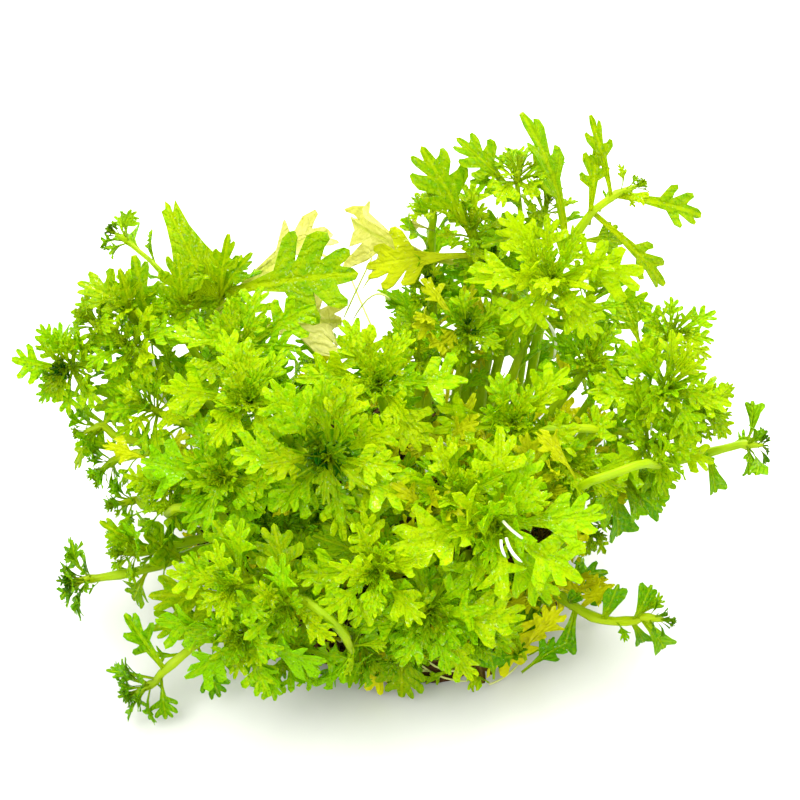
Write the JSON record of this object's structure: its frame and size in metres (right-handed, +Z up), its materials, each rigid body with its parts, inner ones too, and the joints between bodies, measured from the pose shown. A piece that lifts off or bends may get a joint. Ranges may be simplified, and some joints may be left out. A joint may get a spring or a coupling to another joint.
{
  "type": "leafy aquatic plant bunch",
  "caption": "Picked bunch of soft water plant: pale fleshy stems with rosettes of lobed leaves, spreading from a low tangle of roots on which it rests.",
  "frame": {"origin": "on the flat underside of the root mass, below the middle of the bunch", "axes": "+Z up, away from the surface that the bunch rests on; +X along its longest extent, to the picture's right; -Y towards the picture's viewer"},
  "size_m": [0.1423, 0.1097, 0.08],
  "materials": {
    "leaf": "satin",
    "roots": "matte"
  },
  "bodies": {
    "root": {"root_mass": "roots", "shoot_arch_right": "leaf", "shoot_back_left": "leaf", "shoot_back_low_left": "leaf", "shoot_back_low_middle": "leaf", "shoot_back_low_right": "leaf", "shoot_back_middle": "leaf", "shoot_back_notch": "leaf", "shoot_back_right": "leaf", "shoot_bud_low_middle": "leaf", "shoot_bud_middle": "leaf", "shoot_centre_leafy": "leaf", "shoot_centre_right": "leaf", "shoot_centre_rosette": "leaf", "shoot_dark_middle": "leaf", "shoot_far_right": "leaf", "shoot_fork": "leaf", "shoot_front_bright": "leaf", "shoot_front_hanging": "leaf", "shoot_front_left": "leaf", "shoot_front_left_low": "leaf", "shoot_front_low": "leaf", "shoot_front_middle": "leaf", "shoot_front_right_low": "leaf", "shoot_front_rosette": "leaf", "shoot_gloss_middle": "leaf", "shoot_left_back": "leaf", "shoot_left_centre": "leaf", "shoot_left_curl": "leaf", "shoot_left_droop": "leaf", "shoot_left_drop": "leaf", "shoot_left_fan": "leaf", "shoot_left_fingers": "leaf", "shoot_left_gloss": "leaf", "shoot_left_high": "leaf", "shoot_left_inner": "leaf", "shoot_left_lobed": "leaf", "shoot_left_lobed_small": "leaf", "shoot_left_low": "leaf", "shoot_left_middle": "leaf", "shoot_left_rosette": "leaf", "shoot_left_runner": "leaf", "shoot_left_small": "leaf", "shoot_left_small_rosette": "leaf", "shoot_left_upright": "leaf", "shoot_right_dark": "leaf", "shoot_right_edge": "leaf", "shoot_right_fold": "leaf", "shoot_right_hanging": "leaf", "shoot_right_high": "leaf", "shoot_right_middle": "leaf", "shoot_right_rosette": "leaf", "shoot_right_runner": "leaf", "shoot_right_under": "leaf", "shoot_top_bud": "leaf", "shoot_top_finger": "leaf", "shoot_top_rosette": "leaf", "shoot_top_small": "leaf", "shoot_upper_centre": "leaf", "shoot_upper_left": "leaf"}
  },
  "joints": []
}
